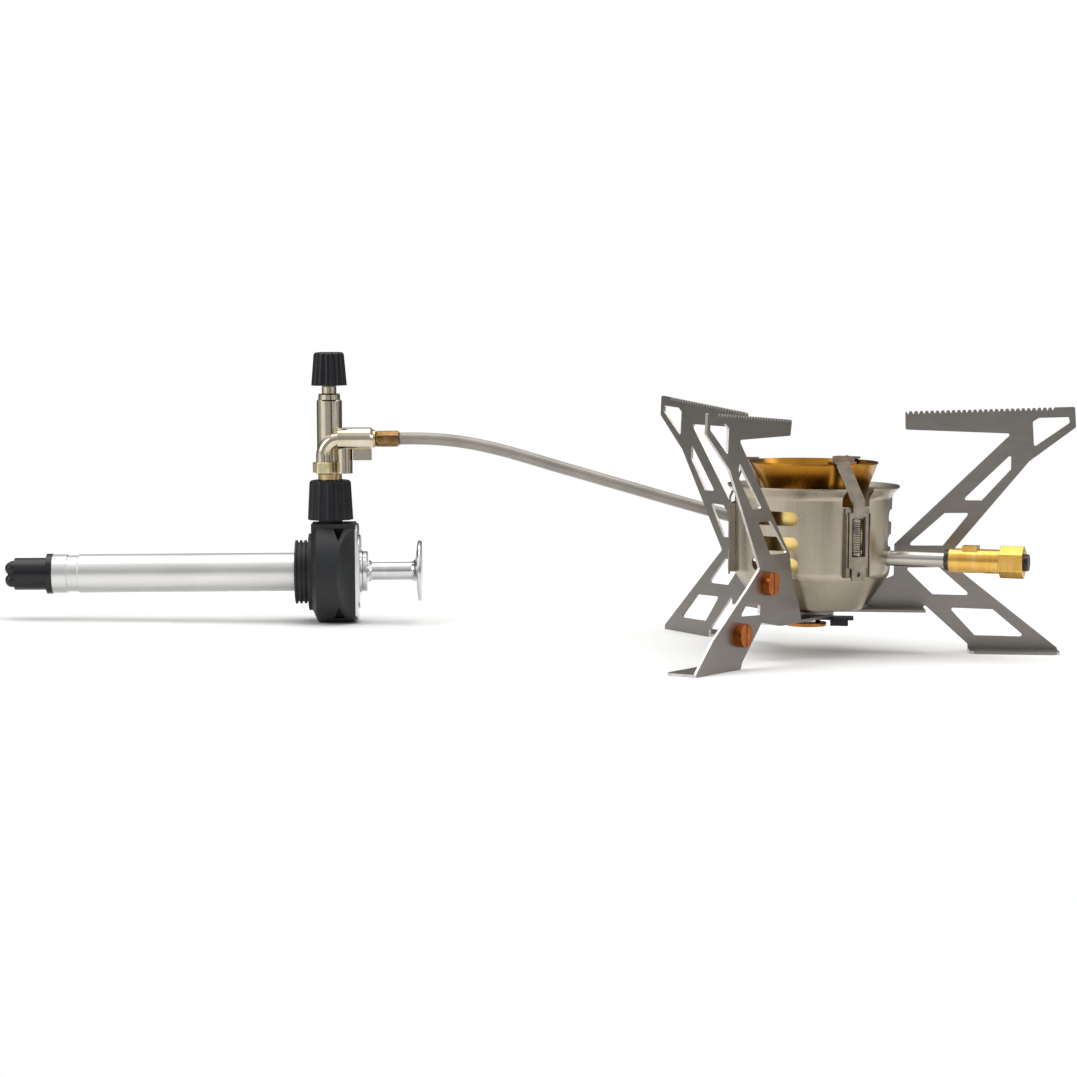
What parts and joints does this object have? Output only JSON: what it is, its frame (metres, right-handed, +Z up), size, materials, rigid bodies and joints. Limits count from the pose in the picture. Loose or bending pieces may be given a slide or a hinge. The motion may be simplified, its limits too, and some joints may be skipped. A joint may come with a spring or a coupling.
{
  "type": "multi-fuel camping stove",
  "caption": "Folding tabletop camping stove: a clipped burner cup on serrated sheet legs, joined by a metal fuel hose to a control valve and a hand pump for a fuel bottle.",
  "frame": {"origin": "On the ground, on the vertical axis of the burner cup, at the centre of the legs", "axes": "+Z up along the burner axis, +X along the length away from the pump, +Y towards the pump's side"},
  "size_m": [0.4693, 0.2165, 0.1207],
  "materials": {
    "leg_steel": "dull stamped stainless sheet",
    "cup_steel": "satin drawn stainless sheet",
    "clip_steel": "thin spring sheet",
    "spring_steel": "bright spring wire",
    "heated_brass": "gold sheet, tempered by heat",
    "yellow_brass": "turned brass",
    "bronze_sleeve": "crimped bronze sleeve",
    "copper_brass": "orange jet heads",
    "dark_steel": "blued steel",
    "tube_steel": "drawn tube",
    "nickel": "warm nickel plate",
    "polished_steel": "polished metal",
    "pump_aluminium": "clear anodised tube",
    "black_plastic": "moulded black plastic",
    "seal_rubber": "black rubber",
    "hose_sleeve": "braid under a clear grey sleeve",
    "pad_fibre": "white glass fibre",
    "cup_leather": "oiled leather"
  },
  "bodies": {
    "stove": {"burner_cup": "cup_steel", "burner_bell": "heated_brass", "burner_head": "heated_brass", "flame_spreader": "dark_steel", "spreader_screw": "dark_steel", "priming_pad": "pad_fibre", "vaporiser_pipe": "tube_steel", "mixing_tube": "tube_steel", "tube_collar": "dark_steel", "jet_block": "yellow_brass", "main_jet": "yellow_brass", "jet_block_nut": "yellow_brass", "inlet_stub": "dark_steel", "clip_guide_1": "clip_steel", "clip_guide_2": "clip_steel", "clip_guide_3": "clip_steel", "clip_spring_1": "spring_steel", "clip_spring_2": "spring_steel", "clip_spring_3": "spring_steel", "pivot_bolt": "leg_steel", "pivot_nut": "polished_steel", "base_disc": "heated_brass", "leg_rear": "leg_steel", "burner_fitting": "yellow_brass", "burner_ferrule": "bronze_sleeve", "fuel_hose": "hose_sleeve", "valve_ferrule": "bronze_sleeve", "valve_body": "nickel", "side_nut": "yellow_brass", "gland_nut": "nickel", "spindle_seal": "seal_rubber", "coupling_stem": "yellow_brass", "stem_seal": "seal_rubber", "pump_body": "black_plastic", "bottle_gasket": "seal_rubber", "pump_tube": "pump_aluminium", "end_cap": "black_plastic", "check_ball": "polished_steel", "check_spring": "spring_steel", "fuel_filter": "pad_fibre", "grip_flange": "polished_steel", "pump_cap": "polished_steel", "cap_ring": "polished_steel"},
    "right_leg": {"leg_right": "leg_steel"},
    "front_leg": {"leg_front": "leg_steel", "spare_jet_upper": "copper_brass", "spare_jet_lower": "copper_brass"},
    "lever": {"base_lever": "black_plastic"},
    "clip_1": {"clip_strap_1": "clip_steel"},
    "clip_2": {"clip_strap_2": "clip_steel"},
    "clip_3": {"clip_strap_3": "clip_steel"},
    "plunger": {"plunger_rod": "polished_steel", "plunger_knob": "polished_steel", "piston": "black_plastic", "piston_cup": "cup_leather"},
    "valve_control": {"valve_spindle": "nickel", "valve_knob": "black_plastic"},
    "coupling": {"coupling_knob": "black_plastic"}
  },
  "joints": [
    {"name": "leg_right_fold", "type": "hinge", "parent": "stove", "child": "right_leg", "pos_m": [0, 0, 0.0176], "axis": [0, 0, 1], "range_deg": [0, 50]},
    {"name": "leg_front_fold", "type": "hinge", "parent": "stove", "child": "front_leg", "pos_m": [0, 0, 0.0152], "axis": [0, 0, 1], "range_deg": [-95, 0]},
    {"name": "base_lever_turn", "type": "hinge", "parent": "stove", "child": "lever", "pos_m": [0, 0, 0.0141], "axis": [0, 0, 1], "range_deg": [0, 45]},
    {"name": "clip_lift_1", "type": "slide", "parent": "stove", "child": "clip_1", "axis": [0, 0, 1], "range_m": [0, 0.003], "stiffness_N_per_m": 1500, "springref_m": -0.001, "deforming": ["clip_spring_1"]},
    {"name": "clip_lift_2", "type": "slide", "parent": "stove", "child": "clip_2", "axis": [0, 0, 1], "range_m": [0, 0.003], "stiffness_N_per_m": 1500, "springref_m": -0.001, "deforming": ["clip_spring_2"]},
    {"name": "clip_lift_3", "type": "slide", "parent": "stove", "child": "clip_3", "axis": [0, 0, 1], "range_m": [0, 0.003], "stiffness_N_per_m": 1500, "springref_m": -0.001, "deforming": ["clip_spring_3"]},
    {"name": "pump_stroke", "type": "slide", "parent": "stove", "child": "plunger", "axis": [0.996, 0.0871, 0.0175], "range_m": [0, 0.08]},
    {"name": "valve_turn", "type": "hinge", "parent": "stove", "child": "valve_control", "pos_m": [-0.21637, 0.08583, 0.11323], "axis": [-0.0174, -0.0015, 0.9998], "range_deg": [0, 540]},
    {"name": "coupling_turn", "type": "hinge", "parent": "stove", "child": "coupling", "pos_m": [-0.21535, 0.08592, 0.05474], "axis": [-0.0174, -0.0015, 0.9998], "range_deg": [0, 720]}
  ]
}
